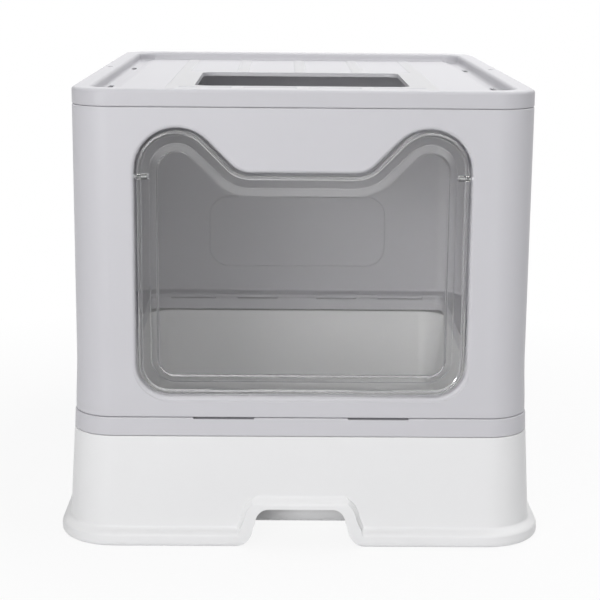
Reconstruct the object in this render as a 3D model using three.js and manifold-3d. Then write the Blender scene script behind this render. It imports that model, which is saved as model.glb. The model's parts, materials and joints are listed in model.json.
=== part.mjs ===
// An enclosed cat litter box: a double-walled litter pan that pulls out as a drawer, a frame that
// runs on its rim, four upright panels, a swinging door flap between cat ears, and a lift-off lid
// with an exit hole. Millimetres, +Z up, door towards -Y, origin on the floor under the middle.
import * as THREE from "three";
import { mergeVertices } from "three/addons/utils/BufferGeometryUtils.js";
import Module from "manifold-3d";

const wasm = await Module();
wasm.setup();

// ---- Driving dimensions ----

// The outline that the frame, the panels and the lid share.
const hoodWidth = 382;
const hoodDepth = 512;
const cornerRadius = 26;
const wall = 2.5; // moulded wall of the frame, the panels and the lid
const seam = 0.3; // gap that neighbouring mouldings keep
const edgeRound = 0.9; // broken edge along each seam

// Litter pan.
const panHeight = 94;
const panWall = 2.8;
const skirtDraft = 0.103; // the skirt leans out by this much for each millimetre down
const footFlare = 6.3; // how far the rolled foot stands out from the skirt
const footHeight = 22;
const rimWidth = 24;
const tubDraft = 0.16;
const tubRound = 12; // between the tub's floor and its walls
const tubCorner = 30; // upright corner of the tub at its rim
const tubFloorGap = 2.4; // under the tub's floor
const notchHeight = 32.5;
const notchTopWidth = 76;
const notchFootWidth = 83;
const notchRadius = 11;
const notchToe = 12.5; // round between the notch's sides and the floor
const notchLipWidth = 11;
const notchLipProud = 4.5;

// Runners: a T-shaped tongue under the frame in a T-slot in the pan's rim.
const runnerInset = 13; // from the hood's side to the middle of the runner
const slotNeckWidth = 5;
const slotHeadWidth = 10;
const slotNeckDepth = 2.6;
const slotHeadDepth = 3.4;
const runnerPlay = 0.4;
const runnerStop = 30; // from the front of the hood to the closed end of the slot

// Frame.
const frameHeight = 16;
const ledgeWidth = 26;
const innerCornerRadius = 10;
const seamSlotLength = 51;
const seamSlotCentre = 65;
const seamSlotDepth = 1.8;

// Panels.
const lapWidth = 9; // strip of a side panel that tucks behind the corner of its neighbour
const hingeGapLengths = [51, 45];
const hingeGapCentres = [117.5, 44.5];
const hingeBarrelRadius = 2.2;
const hingeBarrelLift = 0.8; // from the frame's top to the barrels' axis
const padWidth = 200;
const padHeight = 81;
const padRadius = 22;
const padRise = 31; // from the back panel's foot to the pressed pad
const padDepth = 1.2;

// Doorway and flap.
const doorPost = 52.95; // from the hood's side to the doorway
const doorSill = 17.5; // from the front panel's foot to the sill
const doorBarHeight = 188.8; // from the sill to the flat bar between the ears
const earHeight = 36.4; // from the bar to the top of an ear
const doorHead = 16.5; // from an ear to the top of the panels
const earRadius = 35;
const barRadius = 22.7;
const sillRadius = 27.8;
const doorRound = 3; // round where the panel turns in at the doorway
const jambDepth = 10;
const flapGap = 2.15;
const flapThickness = 2.4;
const flapFlange = 10.2;
const paneRise = 4.5;
const paneSlope = 5.9;
const beadHeight = 1.6;
const beadWidth = 3.7;
const flapRecess = 1.2; // from the panel's face to the flap's flange
const pivotDrop = 3.9; // from the bar to the flap's pivot
const pivotInset = 2.6; // from the panel's face to the pivot
const pinRadius = 1.5;
const pinPlay = 0.06;
const pinGrip = 8.5; // how far a pin's bore runs into the flap
const bossRadius = 2.6;
const bossLength = 10;
const socketWidth = 9;
const socketDepth = 7.5; // how far a pin's bore runs into the door post
const tabLength = 32;
const tabCentre = 60;
const tabHeight = 1.6;
const flapLift = 0.2; // extra gap over the sill

// Lid.
const lidHeight = 14.5;
const lidRound = 3;
const lidRim = 16.5;
const lidRecess = 8;
const recessRadius = 18;
const recessFoot = 3; // round between the recess's floor and its walls
const lidPlate = 3;
const lidLipDepth = 6;
const lidLipPlay = 0.4;
const lidLipWall = 2;
const exitWidth = 191;
const exitDepth = 169;
const exitRadius = 12;
const exitForward = 43.5; // how far the exit's middle lies in front of the lid's
const exitBorder = 9; // raised border in front of the exit and behind it
const gutterWidth = 15.5;
const gutterFlat = 8.5;
const gutterDepth = 1.8;
const ribPitch = 57;
const ribWidth = 11;
const ribHeight = 1.2;
const ribSteps = [-2, -1, 0, 1, 2];
const ribEnd = 10; // from the recess's wall to the end of a rib
const drainRadius = 3.5;
const drainInset = 4; // from the recess's wall to a drain's middle
const drainPitch = 228;
const dimpleRadius = 2.3;
const dimpleDepth = 2.5;

// ---- Derived heights and places ----

const frameBottom = panHeight + seam;
const frameTop = panHeight + frameHeight;
const panelBottom = frameTop + seam;
const sillHeight = panelBottom + doorSill;
const barHeight = sillHeight + doorBarHeight;
const panelTop = barHeight + earHeight + doorHead;
const lidBottom = panelTop + seam;
const lidTop = panelTop + lidHeight;
const doorWidth = hoodWidth - 2 * doorPost;
const front = -hoodDepth / 2;
const cornerSeam = hoodDepth / 2 - cornerRadius; // where the corner panels end, in Y
const pivotHeight = barHeight - pivotDrop;
const flapBack = front + flapRecess + flapThickness;
const pivotY = front + pivotInset;
const lidFloor = lidTop - lidRecess;
const recessWidth = hoodWidth - 2 * lidRim;
const recessDepth = hoodDepth - 2 * lidRim;
const outerRib = ribPitch * Math.max(...ribSteps);

// The rolled foot's profile from the floor up: [share of its height, share of its flare].
const footProfile = [
  [0, 0.59],
  [0.06, 0.83],
  [0.18, 1],
  [0.36, 1],
  [0.55, 0.72],
  [0.7, 0.16],
  [0.85, 0.03],
  [1, 0],
];

const arcSteps = 8;
const beyond = 5; // how far a cutting body runs past what it cuts

// ---- Geometry helpers ----

// A closed three.js geometry as a manifold-3d solid.
function solid(geometry) {
  const shell = geometry.clone();
  shell.deleteAttribute("normal");
  shell.deleteAttribute("uv");
  const merged = mergeVertices(shell);
  return new wasm.Manifold(
    new wasm.Mesh({
      numProp: 3,
      vertProperties: new Float32Array(merged.attributes.position.array),
      triVerts: new Uint32Array(merged.index.array),
    }),
  );
}

// A manifold-3d solid as a named three.js mesh.
function piece(name, body, material) {
  const mesh = body.getMesh();
  const geometry = new THREE.BufferGeometry();
  geometry.setAttribute("position", new THREE.BufferAttribute(mesh.vertProperties, mesh.numProp));
  geometry.setIndex(new THREE.BufferAttribute(mesh.triVerts, 1));
  geometry.computeVertexNormals();
  const made = new THREE.Mesh(geometry, material);
  made.name = name;
  return made;
}

// A box given by two opposite corners.
function block(x0, y0, z0, x1, y1, z1) {
  const geometry = new THREE.BoxGeometry(Math.abs(x1 - x0), Math.abs(y1 - y0), Math.abs(z1 - z0));
  return solid(geometry.translate((x0 + x1) / 2, (y0 + y1) / 2, (z0 + z1) / 2));
}

// A cylinder about the X axis through (0, y, z), between x0 and x1.
function rod(radius, x0, x1, y, z) {
  const geometry = new THREE.CylinderGeometry(radius, radius, Math.abs(x1 - x0), 2 * arcSteps);
  return solid(geometry.rotateZ(Math.PI / 2).translate((x0 + x1) / 2, y, z));
}

// An upright cylinder on (x, y), from z0 to z1.
function post(radius, x, y, z0, z1) {
  const geometry = new THREE.CylinderGeometry(radius, radius, z1 - z0, 2 * arcSteps);
  return solid(geometry.rotateX(Math.PI / 2).translate(x, y, (z0 + z1) / 2));
}

// The points of an arc. Angles are in degrees, and the arc may turn either way.
function arc(x, y, radius, from, to) {
  const start = THREE.MathUtils.degToRad(from);
  const end = THREE.MathUtils.degToRad(to);
  return new THREE.EllipseCurve(x, y, radius, radius, start, end, to < from).getPoints(arcSteps);
}

// A rounded rectangle about the origin, anticlockwise.
function roundedRectangle(width, depth, radius) {
  const x = width / 2 - radius;
  const y = depth / 2 - radius;
  return [
    ...arc(x, -y, radius, -90, 0),
    ...arc(x, y, radius, 0, 90),
    ...arc(-x, y, radius, 90, 180),
    ...arc(-x, -y, radius, 180, 270),
  ];
}

// The hood's outline, moved out by an offset, or in by a negative one.
function hoodOutline(offset, radius = Math.max(cornerRadius + offset, 2)) {
  return roundedRectangle(hoodWidth + 2 * offset, hoodDepth + 2 * offset, radius);
}

// A body through outlines of equal point counts, given as [height, points] from its lower cap on.
function loftGeometry(levels) {
  const count = levels[0][1].length;
  const positions = [];
  for (const [height, points] of levels) {
    for (const point of points) positions.push(point.x, point.y, height);
  }
  const index = [];
  for (let level = 0; level + 1 < levels.length; level++) {
    for (let i = 0; i < count; i++) {
      const a = level * count + i;
      const b = level * count + ((i + 1) % count);
      index.push(a, b, b + count, a, b + count, a + count);
    }
  }
  const last = (levels.length - 1) * count;
  for (const [a, b, c] of THREE.ShapeUtils.triangulateShape(levels[0][1], [])) index.push(a, c, b);
  for (const [a, b, c] of THREE.ShapeUtils.triangulateShape(levels.at(-1)[1], [])) {
    index.push(last + a, last + b, last + c);
  }
  const geometry = new THREE.BufferGeometry();
  geometry.setAttribute("position", new THREE.Float32BufferAttribute(positions, 3));
  geometry.setIndex(index);
  return geometry;
}

// The same with offsets of the hood's outline: [height, offset] pairs.
function hoodLoft(levels) {
  return solid(loftGeometry(levels.map(([height, offset]) => [height, hoodOutline(offset)])));
}

// An upright prism on one outline.
function upright(points, bottom, top) {
  return solid(
    loftGeometry([
      [bottom, points],
      [top, points],
    ]),
  );
}

// A ring between the hood's outline at two offsets. The inner corner may be tighter than concentric.
function hoodRing(bottom, top, outer, inner, innerRadius) {
  const hole = upright(hoodOutline(inner, innerRadius), bottom - beyond, top + beyond);
  return upright(hoodOutline(outer), bottom, top).subtract(hole);
}

// The large hole through the frame and the panels' foot, inside the ledge.
function ledgeHole(bottom, top) {
  return upright(hoodOutline(-ledgeWidth, innerCornerRadius), bottom - beyond, top + beyond);
}

// A quarter round between a floor and a wall, as [rise above the floor, lean out from the wall].
function footRound(radius, steps) {
  const round = [];
  for (let step = 0; step <= steps; step++) {
    const turn = ((step / steps) * Math.PI) / 2;
    round.push([radius * (1 - Math.cos(turn)), radius * (Math.sin(turn) - 1)]);
  }
  return round;
}

// A body whose outlines stand upright, facing the front: heights run along -Y.
function frontLoft(levels) {
  return solid(loftGeometry(levels).rotateX(Math.PI / 2));
}

// A prism along Y from a list of [x, z] points, anticlockwise seen from the front.
function runAlongY(profile, y0, y1) {
  const points = profile.map(([x, z]) => new THREE.Vector2(x, z));
  return frontLoft([
    [-y1, points],
    [-y0, points],
  ]);
}

function mirrorX(body) {
  return body.mirror([1, 0, 0]);
}

// ---- Doorway outline ----

// The doorway, moved in by an inset: a rounded sill, upright jambs, round ears, shoulders at 45
// degrees, and a flat bar between the ears. A lift raises the sill alone.
function doorOutline(inset, sillLift = 0) {
  const side = doorWidth / 2 - sillRadius;
  const sillRound = sillRadius - inset;
  const sillZ = sillHeight + sillLift + sillRadius;
  const ear = earRadius - inset;
  const earX = doorWidth / 2 - earRadius;
  const earZ = barHeight + earHeight - earRadius;
  const bar = barRadius + inset;
  const barZ = barHeight + barRadius;
  const barX = earX - earZ + barZ - Math.SQRT2 * (earRadius + barRadius);
  return [
    ...arc(side, sillZ, sillRound, -90, 0),
    ...arc(earX, earZ, ear, 0, 135),
    ...arc(barX, barZ, bar, 315, 270),
    ...arc(-barX, barZ, bar, 270, 225),
    ...arc(-earX, earZ, ear, 45, 180),
    ...arc(-side, sillZ, sillRound, 180, 270),
  ];
}

// A body through doorway outlines, given as [how far in front of the panel's face, inset].
function doorLoft(levels, sillLift) {
  const outlines = levels.map(([out, inset]) => [out - front, doorOutline(inset, sillLift)]);
  return frontLoft(outlines);
}

// ---- Materials ----

const greyPlastic = { color: 0xcbcacf, roughness: 0.42, metalness: 0 };
const whitePlastic = { color: 0xe4e4e5, roughness: 0.38, metalness: 0 };
const smokedPlastic = { color: 0x9a9a9c, roughness: 0.12, metalness: 0 };
const clearPlastic = { color: 0xf0f2f4, roughness: 0.1, metalness: 0 };

function finish(settings) {
  return new THREE.MeshStandardMaterial(settings);
}

// ---- Litter pan ----

// How far the skirt's face stands outside the hood's outline at a height.
function skirtOffset(height) {
  return (panHeight - height) * skirtDraft;
}

// The notch for a hand in the foot of the skirt, grown outwards by a margin.
function notchOutline(margin) {
  const top = notchTopWidth / 2 + margin;
  const foot = notchFootWidth / 2 + margin;
  const height = notchHeight + margin;
  const radius = notchRadius + margin;
  const toe = notchToe;
  return [
    new THREE.Vector2(-foot - toe, -beyond),
    new THREE.Vector2(foot + toe, -beyond),
    ...arc(foot + toe, toe, toe, 270, 185),
    ...arc(top - radius, height - radius, radius, 5, 90),
    ...arc(radius - top, height - radius, radius, 90, 175),
    ...arc(-foot - toe, toe, toe, -5, -90),
  ];
}

function notchCutter(margin, y0, y1) {
  const points = notchOutline(margin);
  return frontLoft([
    [-y1, points],
    [-y0, points],
  ]);
}

// The foot's levels, moved in from its outer face by an inset.
function footLevels(inset) {
  return footProfile.map(([rise, share]) => {
    const height = rise * footHeight;
    return [height, skirtOffset(height) + share * footFlare - inset];
  });
}

function skirt() {
  const edge = panHeight - edgeRound;
  return hoodLoft([...footLevels(0), [edge, skirtOffset(edge)], [panHeight, -edgeRound]]);
}

// The hollow under the skirt, before the tub is put back into it.
function skirtHollow() {
  const top = panHeight - panWall;
  const levels = footLevels(panWall);
  return hoodLoft([[-beyond, levels[0][1]], ...levels, [top, skirtOffset(top) - panWall]]);
}

// One face of the tub, from its floor up to a height: its draft, with a rounded foot.
function tub(floor, radius, grow, top) {
  const levels = footRound(radius, arcSteps / 2).map(([rise, lean]) => [floor + rise, lean]);
  const outlines = [...levels, [top, 0]].map(([height, lean]) => {
    const offset = tubOffset(height) + grow + lean;
    return [height, hoodOutline(offset, Math.max(offset + rimWidth + tubCorner, 2))];
  });
  return solid(loftGeometry(outlines));
}

// How far the tub's inner face stands from the hood's outline at a height.
function tubOffset(height) {
  return -rimWidth - (panHeight - height) * tubDraft;
}

// The T section of a runner, drawn down from a height. It is cut with no play and made with some.
function runnerSection(top, play) {
  const neck = slotNeckWidth / 2 - play;
  const head = slotHeadWidth / 2 - play;
  const shoulder = panHeight - slotNeckDepth - play;
  const bottom = panHeight - slotNeckDepth - slotHeadDepth + play;
  return [
    [-neck, top],
    [-neck, shoulder],
    [-head, shoulder],
    [-head, bottom],
    [head, bottom],
    [head, shoulder],
    [neck, shoulder],
    [neck, top],
  ];
}

const runnerX = hoodWidth / 2 - runnerInset;

function basePan() {
  let pan = skirt();
  const floor = tubFloorGap + panWall;
  // A lip follows the notch, nearly as proud as the foot, and its top edge is rounded over.
  const outside = front - skirtOffset(0) - 2 * footFlare;
  const lip = notchCutter(notchLipWidth, outside, front + panWall);
  const lipTop = notchHeight + notchLipWidth;
  const envelope = hoodLoft([
    [0, skirtOffset(0) + notchLipProud],
    [lipTop - notchLipProud, skirtOffset(lipTop - notchLipProud) + notchLipProud],
    [lipTop - notchLipProud * 0.3, skirtOffset(lipTop) + notchLipProud * 0.8],
    [lipTop, skirtOffset(lipTop) + notchLipProud * 0.3],
  ]);
  pan = pan.add(lip.intersect(envelope));
  pan = pan.subtract(skirtHollow().subtract(tub(tubFloorGap, tubRound, panWall, panHeight)));
  pan = pan.subtract(tub(floor, tubRound, 0, panHeight + beyond));
  pan = pan.subtract(notchCutter(0, outside, front + notchRadius));
  // Channels for the runners hang from the rim and open at the back.
  const channelHalf = slotHeadWidth / 2 + 1.4;
  const channelFloor = panHeight - slotNeckDepth - slotHeadDepth - 2;
  const channelTop = panHeight - 1;
  const slotFront = front + runnerStop;
  for (const side of [-1, 1]) {
    const x = side * runnerX;
    const channel = block(x - channelHalf, slotFront - 2, channelFloor, x + channelHalf, -front, channelTop);
    const section = runnerSection(panHeight + beyond, 0).map(([u, z]) => [x + u, z]);
    const slot = runAlongY(section, slotFront, -front + 2 * beyond);
    pan = pan.add(channel.intersect(skirt())).subtract(slot);
  }
  return pan;
}

// ---- Frame ----

function lowerFrame() {
  const outer = hoodLoft([
    [frameBottom, -edgeRound],
    [frameBottom + edgeRound, 0],
    [frameTop - edgeRound, 0],
    [frameTop, -edgeRound],
  ]);
  let frame = outer.subtract(ledgeHole(frameBottom, frameTop));
  const hollow = hoodRing(frameBottom, frameTop - wall, -wall, wall - ledgeWidth, innerCornerRadius + wall);
  frame = frame.subtract(hollow.translate([0, 0, -seam]));
  // Runners, on webs that close the hollow above them.
  const slotFront = front + runnerStop;
  for (const side of [-1, 1]) {
    const x = side * runnerX;
    const section = runnerSection(frameTop - wall / 2, runnerPlay).map(([u, z]) => [x + u, z]);
    frame = frame.add(runAlongY(section, slotFront + 1, -front - cornerRadius));
  }
  // Slots in the seam, and the hinge barrels that lie in the gaps of the front and back panels.
  for (const side of [-1, 1]) {
    const x = side * seamSlotCentre;
    const half = seamSlotLength / 2;
    const slotBack = front + 3 * wall;
    const slotFloor = frameTop - seamSlotDepth;
    frame = frame.subtract(block(x - half, front - 1, slotFloor, x + half, slotBack, frameTop + 1));
  }
  for (const end of [-1, 1]) {
    const y = end * (hoodDepth / 2 - ledgeWidth + hingeBarrelRadius + seam);
    hingeGapCentres.forEach((centre, i) => {
      const half = hingeGapLengths[i] / 2 - 2 * seam;
      for (const side of [-1, 1]) {
        const x = side * centre;
        frame = frame.add(rod(hingeBarrelRadius, x - half, x + half, y, frameTop + hingeBarrelLift));
      }
    });
  }
  return frame;
}

// ---- Panels ----

// The four walls as one ring, with a ledge at the foot.
function panelRing() {
  const outer = hoodLoft([
    [panelBottom, -edgeRound],
    [panelBottom + edgeRound, 0],
    [panelTop - edgeRound, 0],
    [panelTop, -edgeRound],
  ]);
  const inner = hoodLoft([
    [panelBottom + wall, -wall - 2],
    [panelBottom + wall + 2, -wall],
    [panelTop + beyond, -wall],
  ]);
  return outer.subtract(inner).subtract(ledgeHole(panelBottom, panelBottom + wall));
}

// The part of the ring in front of the corner seam, with gaps for the frame's hinge barrels.
function endPanel() {
  const half = hoodWidth / 2 + beyond;
  const low = panelBottom - beyond;
  const room = block(-half, front - beyond, low, half, -cornerSeam, panelTop + beyond);
  let panel = panelRing().intersect(room);
  const inboard = front + ledgeWidth - 2 * hingeBarrelRadius - 1;
  const high = panelBottom + 2 * wall;
  hingeGapCentres.forEach((centre, i) => {
    const reach = hingeGapLengths[i] / 2;
    for (const side of [-1, 1]) {
      const x = side * centre;
      panel = panel.subtract(block(x - reach, inboard, low, x + reach, -cornerSeam + beyond, high));
    }
  });
  return panel;
}

function frontPanel() {
  let panel = endPanel();
  // The doorway's edge turns in as a jamb, and its outer arris is rounded.
  const jamb = doorLoft([
    [-jambDepth, -wall],
    [-wall / 2, -wall],
  ]);
  panel = panel.add(jamb);
  for (const side of [-1, 1]) {
    const x0 = side * (doorWidth / 2 + wall / 2);
    const x1 = side * (doorWidth / 2 + socketWidth);
    const low = pivotHeight - 2 * pinRadius;
    const high = pivotHeight + 2 * pinRadius;
    panel = panel.add(block(x0, front + wall / 2, low, x1, front + jambDepth, high));
  }
  panel = panel.subtract(
    doorLoft([
      [-jambDepth - beyond, 0],
      ...footRound(doorRound, 4).map(([rise, lean]) => [lean, -rise]),
      [beyond, -doorRound - beyond],
    ]),
  );
  const reach = doorWidth / 2 + socketDepth;
  return panel.subtract(rod(pinRadius + 2 * pinPlay, -reach, reach, pivotY, pivotHeight));
}

function backPanel() {
  const panel = endPanel().mirror([0, 1, 0]);
  // A pad is pressed into the wall, and stands out as much inside.
  const padZ = panelBottom + padRise + padHeight / 2;
  const press = (levels) => {
    const outlines = levels.map(([out, grow]) => {
      const points = roundedRectangle(padWidth + 2 * grow, padHeight + 2 * grow, padRadius + grow);
      points.forEach((point) => point.setY(point.y + padZ));
      return [out - front, points];
    });
    return frontLoft(outlines).mirror([0, 1, 0]);
  };
  const sunk = press([
    [-padDepth, 0],
    [beyond, beyond + padDepth],
  ]);
  const raised = press([
    [-wall - padDepth, -padDepth],
    [-wall, 0],
    [-wall / 2, 0],
  ]);
  return panel.add(raised).subtract(sunk);
}

// A side panel fills the gap between the corner seams, and its laps tuck behind the corners.
function sidePanel(side) {
  const reach = cornerSeam - seam;
  const low = panelBottom - beyond;
  const high = panelTop + beyond;
  const inboard = hoodWidth / 4;
  const ends = (y0, y1) =>
    block(inboard, y0, low, hoodWidth, y1, high).add(block(inboard, -y1, low, hoodWidth, -y0, high));
  const lapBottom = panelBottom + 3 * wall;
  const lapTop = panelTop - lidLipDepth - wall;
  const face = -wall - seam;
  const lapEnds = ends(reach - lapWidth, reach + lapWidth);
  const lap = hoodRing(lapBottom, lapTop, face, face - wall).intersect(lapEnds);
  const rootEnds = ends(reach - lapWidth, reach);
  const root = hoodRing(lapBottom, lapTop, -wall / 2, face - wall).intersect(rootEnds);
  const middle = block(0, -reach, low, hoodWidth, reach, high);
  const panel = panelRing().intersect(middle).add(lap).add(root);
  return side > 0 ? panel : mirrorX(panel);
}

// ---- Flap ----

function doorFlap() {
  const face = -flapRecess;
  const back = face - flapThickness;
  const edge = flapGap;
  const foot = edge + flapFlange;
  const shell = doorLoft(
    [
      [back, edge],
      [face, edge],
      [face + beadHeight * 0.7, edge + beadWidth * 0.2],
      [face + beadHeight, edge + beadWidth * 0.5],
      [face + beadHeight * 0.7, edge + beadWidth * 0.8],
      [face, edge + beadWidth],
      [face, foot],
      [face + paneRise * 0.85, foot + paneSlope * 0.8],
      [face + paneRise, foot + paneSlope],
    ],
    flapLift,
  );
  const thin = flapThickness;
  const hollow = doorLoft(
    [
      [back - beyond, foot + thin * 0.6],
      [back, foot + thin * 0.6],
      [back + paneRise * 0.85, foot + paneSlope * 0.8 + thin * 0.4],
      [back + paneRise, foot + paneSlope + thin * 0.4],
    ],
    flapLift,
  );
  let flap = shell.subtract(hollow);
  // Bosses for the pivot pins, and two tabs that reach for the sill.
  const edgeX = doorWidth / 2 - edge;
  const lowEdge = sillHeight + edge + flapLift;
  const tabFront = flapBack - flapThickness;
  for (const side of [-1, 1]) {
    const bossEnd = side * (edgeX - bossLength);
    flap = flap.add(rod(bossRadius, bossEnd, side * (edgeX - 0.1), pivotY, pivotHeight));
    const x0 = side * (tabCentre - tabLength / 2);
    const x1 = side * (tabCentre + tabLength / 2);
    flap = flap.add(block(x0, tabFront, lowEdge - tabHeight, x1, flapBack, lowEdge + 1));
  }
  for (const side of [-1, 1]) {
    const blind = side * (edgeX - pinGrip);
    flap = flap.subtract(rod(pinRadius + pinPlay, blind, side * (edgeX + beyond), pivotY, pivotHeight));
  }
  return flap;
}

function flapPin(side) {
  const inner = doorWidth / 2 - flapGap - pinGrip + seam;
  const outer = doorWidth / 2 + socketDepth - 0.5;
  return rod(pinRadius, side * inner, side * outer, pivotY, pivotHeight);
}

// ---- Lid ----

// The recess in the lid's top: a rounded foot, upright walls and a broken edge at the rim. It may be
// grown outwards and dropped, to give the body that carries it.
function recess(grow, drop, top) {
  const floor = lidFloor - drop;
  const levels = footRound(recessFoot, 3).map(([rise, lean]) => [floor + rise, lean]);
  levels.push([lidTop - edgeRound, 0], [top, edgeRound]);
  const outlines = levels.map(([height, lean]) => {
    const out = grow + lean;
    const outline = roundedRectangle(recessWidth + 2 * out, recessDepth + 2 * out, recessRadius + out);
    return [height, outline];
  });
  return solid(loftGeometry(outlines));
}

// The recess with a gutter along each side of its floor.
function lidHollow(grow, drop, top) {
  const wallX = recessWidth / 2;
  const edge = lidFloor - drop;
  const section = [
    [wallX - gutterWidth - grow, top],
    [wallX - gutterWidth - grow, edge],
    [wallX - gutterFlat - grow, edge - gutterDepth],
    [wallX + grow + beyond, edge - gutterDepth],
    [wallX + grow + beyond, top],
  ];
  const run = runAlongY(section, -hoodDepth / 2, hoodDepth / 2);
  const gutter = run.intersect(recess(grow, drop + gutterDepth, top));
  return recess(grow, drop, top).add(gutter).add(mirrorX(gutter));
}

function topLid() {
  const shell = hoodLoft([
    [lidBottom, -edgeRound],
    [lidBottom + edgeRound, 0],
    [lidTop - lidRound, 0],
    [lidTop - lidRound * 0.5, -lidRound * 0.13],
    [lidTop - lidRound * 0.13, -lidRound * 0.5],
    [lidTop, -lidRound],
  ]);
  const ground = lidHollow(wall, lidPlate, lidTop + beyond);
  const underside = upright(hoodOutline(-wall), lidBottom - beyond, lidTop - lidRound);
  let lid = shell.subtract(underside.subtract(ground)).subtract(lidHollow(0, 0, lidTop + 0.01));
  // A lip locates the lid inside the panels.
  const lipOuter = -wall - lidLipPlay;
  const lip = hoodLoft([
    [lidBottom - lidLipDepth, lipOuter - 0.5],
    [lidBottom - seam / 2, lipOuter],
    [lidBottom + 0.2, lipOuter],
    [lidBottom + 0.2, -wall / 2],
    [lidBottom + 3, -wall / 2],
  ]).subtract(upright(hoodOutline(lipOuter - lidLipWall), lidBottom - lidLipDepth - beyond, lidTop));
  lid = lid.add(lip.subtract(ground));
  // Raised ribs run along the floor.
  const ribHalf = recessDepth / 2 - ribEnd;
  for (const step of ribSteps) {
    const x = step * ribPitch;
    const foot = ribWidth / 2;
    const crest = foot - ribHeight;
    const profile = [
      [x - foot, lidFloor - 1],
      [x + foot, lidFloor - 1],
      [x + foot, lidFloor],
      [x + crest, lidFloor + ribHeight],
      [x - crest, lidFloor + ribHeight],
      [x - foot, lidFloor],
    ];
    lid = lid.add(runAlongY(profile, -ribHalf, ribHalf));
  }
  // A raised border round the exit joins the outer ribs.
  const borderLevel = (height, lean) => {
    const halfX = outerRib + ribWidth / 2 - lean;
    const halfY = exitDepth / 2 + exitBorder - lean;
    return [height, roundedRectangle(2 * halfX, 2 * halfY, exitBorder / 3)];
  };
  const border = loftGeometry([
    borderLevel(lidFloor - 1, 0),
    borderLevel(lidFloor, 0),
    borderLevel(lidFloor + ribHeight, ribHeight),
  ]);
  const exitOutline = roundedRectangle(exitWidth, exitDepth, exitRadius);
  const exit = upright(exitOutline, lidBottom - beyond, lidTop + beyond);
  lid = lid.add(solid(border.translate(0, -exitForward, 0)));
  lid = lid.subtract(exit.translate([0, -exitForward, 0]));
  const drainX = recessWidth / 2 - drainInset;
  for (const side of [-1, 1]) {
    for (const end of [-1, 1]) {
      const y = (end * drainPitch) / 2;
      lid = lid.subtract(post(drainRadius, side * drainX, y, lidBottom - beyond, lidTop));
    }
    const dimpleX = side * (hoodWidth / 2 - lidRim / 2);
    lid = lid.subtract(post(dimpleRadius, dimpleX, 0, lidTop - dimpleDepth, lidTop + 1));
  }
  return lid;
}

// ---- Assembly ----

const litterBox = new THREE.Group();
litterBox.add(
  piece("base_pan", basePan(), finish(whitePlastic)),
  piece("lower_frame", lowerFrame(), finish(greyPlastic)),
  piece("front_panel", frontPanel(), finish(greyPlastic)),
  piece("back_panel", backPanel(), finish(greyPlastic)),
  piece("side_panel_left", sidePanel(-1), finish(greyPlastic)),
  piece("side_panel_right", sidePanel(1), finish(greyPlastic)),
  piece("door_flap", doorFlap(), finish(smokedPlastic)),
  piece("flap_pin_left", flapPin(-1), finish(clearPlastic)),
  piece("flap_pin_right", flapPin(1), finish(clearPlastic)),
  piece("top_lid", topLid(), finish(greyPlastic)),
);

export default litterBox;
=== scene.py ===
# %% [markdown]
# # An enclosed cat litter box
#
# The real thing is seven plastic mouldings and two clear pins. A white pan stands on the floor and
# pulls out like a drawer. A grey frame runs on its rim, four grey panels stand on the frame, and a
# flat lid with an exit hole closes the top. A smoked flap hangs in a doorway with two cat ears.
#
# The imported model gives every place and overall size. It is made of flat triangles, so each
# moulding is drawn again here with finer curves, softer edges and its shallow steps, and stands
# for its plain one.

# %% Load the frame
import json
import math

import bmesh
import bpy
from mathutils import Matrix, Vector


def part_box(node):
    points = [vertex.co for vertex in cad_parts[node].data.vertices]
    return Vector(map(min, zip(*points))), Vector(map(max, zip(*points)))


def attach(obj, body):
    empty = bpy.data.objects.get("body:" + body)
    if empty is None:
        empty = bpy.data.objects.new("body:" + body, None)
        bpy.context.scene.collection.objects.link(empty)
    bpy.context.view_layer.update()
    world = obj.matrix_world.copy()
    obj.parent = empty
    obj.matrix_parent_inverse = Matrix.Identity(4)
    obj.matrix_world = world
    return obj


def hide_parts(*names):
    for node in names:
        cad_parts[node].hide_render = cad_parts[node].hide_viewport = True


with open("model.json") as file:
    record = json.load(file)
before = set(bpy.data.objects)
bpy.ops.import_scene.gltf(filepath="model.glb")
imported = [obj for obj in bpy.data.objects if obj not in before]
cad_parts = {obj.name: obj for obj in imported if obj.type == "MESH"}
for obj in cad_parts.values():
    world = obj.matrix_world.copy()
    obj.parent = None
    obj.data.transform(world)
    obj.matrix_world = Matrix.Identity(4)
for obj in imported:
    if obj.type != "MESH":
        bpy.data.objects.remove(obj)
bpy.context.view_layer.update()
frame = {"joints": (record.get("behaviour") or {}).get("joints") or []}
scene = bpy.context.scene

# %% [markdown]
# The camera comes first, because what it sees says how much detail each piece needs. It stands a
# little over a metre and a half in front of the door, at about the height of a person sitting on
# the floor, and looks down a little. A long lens keeps the sides of the box nearly upright.

# %% Camera
camera_data = bpy.data.cameras.new("camera")
camera_data.lens = 96.144
camera_data.sensor_width = 36
camera = bpy.data.objects.new("camera", camera_data)
scene.collection.objects.link(camera)
turn_right, look_down, tilt = 0.0111, 0.21205, 0.00887
camera.matrix_world = (
    Matrix.Translation((-0.0162, -1.55204, 0.49026))
    @ Matrix.Rotation(-turn_right, 4, "Z")
    @ Matrix.Rotation(math.pi / 2 - look_down, 4, "X")
    @ Matrix.Rotation(tilt, 4, "Z")
)
scene.camera = camera
print("camera looks down", round(math.degrees(look_down), 1), "degrees")

# %% [markdown]
# Plastic like this is best shown in a white room with large soft lamps. The world is the room. It
# gives a weak even light and is plain white where the camera or a see-through piece looks at it. In
# a reflection it is dim at the horizon and brightens smoothly towards the top, because the lamps
# hang high, and so the slopes of the flap that face up stand out. Light Path tells these cases
# apart.

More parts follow.
